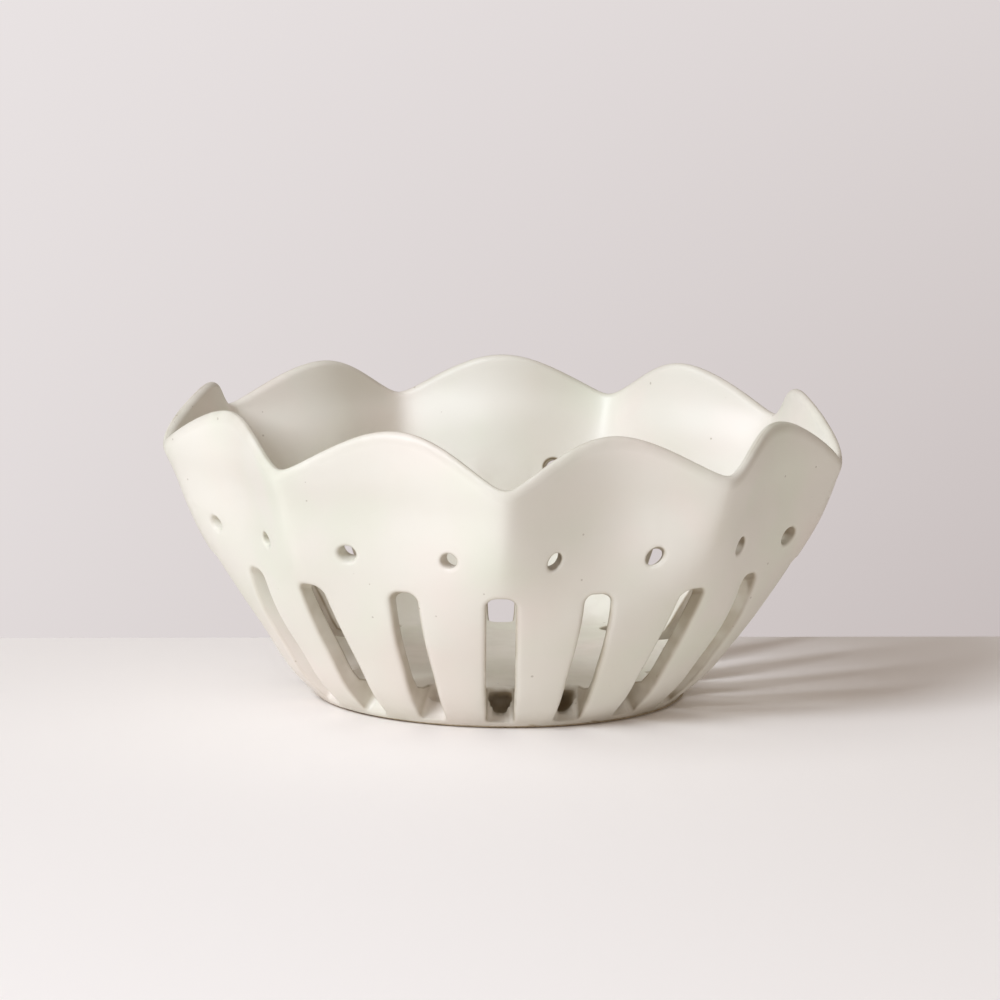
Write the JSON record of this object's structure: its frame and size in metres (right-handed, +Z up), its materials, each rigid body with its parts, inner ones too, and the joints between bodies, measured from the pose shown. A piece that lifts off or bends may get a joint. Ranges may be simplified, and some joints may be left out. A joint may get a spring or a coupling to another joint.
{
  "type": "berry colander bowl",
  "caption": "Round stoneware bowl with a petalled, wavy rim, tall drain slots round its lower wall, a row of small drain holes above them, and a flat floor on a foot ring.",
  "frame": {"origin": "centre of the foot ring, on the plane of the table that it stands on", "axes": "+Z up out of the bowl, -Y toward the front ridge between two petals, +X to the right seen from the front"},
  "size_m": [0.2211, 0.2139, 0.0999],
  "materials": {
    "cream_glaze": "soft gloss",
    "bare_clay": "matte"
  },
  "bodies": {
    "root": {"petal_wall": "cream_glaze", "drain_staves": "cream_glaze", "floor_disc": "cream_glaze", "sill_ring": "cream_glaze", "foot_ring": "bare_clay"}
  },
  "joints": []
}
